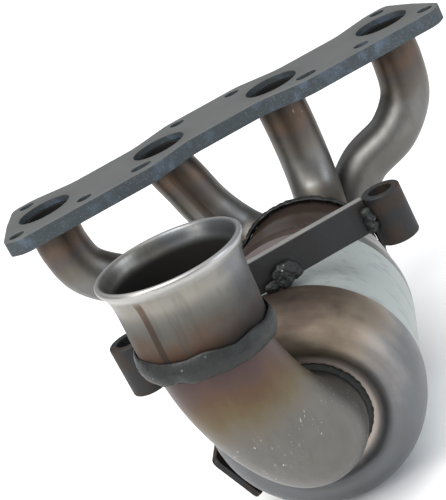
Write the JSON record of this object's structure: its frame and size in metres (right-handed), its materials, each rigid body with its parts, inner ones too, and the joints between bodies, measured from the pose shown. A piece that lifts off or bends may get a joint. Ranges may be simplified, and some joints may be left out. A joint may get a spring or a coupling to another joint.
{
  "type": "exhaust manifold with catalytic converter",
  "caption": "Exhaust manifold for an inline engine: tube runners from a flat head flange into a collector, close-coupled converter can, elbow and flared outlet cup, with a mounting bracket.",
  "frame": {"origin": "middle of the head flange's sealing face, half way between the two inner ports", "axes": "+X along the row of ports, +Z out of the sealing face towards the cylinder head; the converter and its outlet lie on the -Y side and below"},
  "size_m": [0.3228, 0.3135, 0.2042],
  "materials": {
    "flange_plate": "matt ground plate with blue-grey cut edges",
    "tube_steel": "satin stainless tube with brown heat tint by the welds",
    "weld": "dark scaled weld metal with bright glints",
    "black_steel": "dark mill scale",
    "can_steel": "dull light grey sheet",
    "dome_steel": "satin pressed sheet with fine circular marks",
    "cup_steel": "bright satin with a brown seam",
    "monolith": "fine square honeycomb",
    "mat": "pressed fibre"
  },
  "bodies": {
    "root": {"head_flange": "flange_plate", "runner_1": "tube_steel", "runner_2": "tube_steel", "runner_3": "tube_steel", "runner_4": "tube_steel", "runner_weld_1": "weld", "runner_weld_2": "weld", "runner_weld_3": "weld", "runner_weld_4": "weld", "collector_plate": "tube_steel", "collector_cone": "tube_steel", "collector_weld": "weld", "sensor_boss": "black_steel", "converter_shell": "can_steel", "support_mat": "mat", "catalyst_monolith": "monolith", "outlet_dome": "dome_steel", "elbow_weld": "weld", "outlet_elbow": "tube_steel", "outlet_cup": "cup_steel", "cup_weld": "weld", "support_strap": "black_steel", "strap_weld": "weld", "boss_left": "black_steel", "boss_right": "black_steel", "boss_weld_left": "weld", "boss_weld_right": "weld", "side_bracket": "black_steel", "side_weld": "weld"}
  },
  "joints": []
}
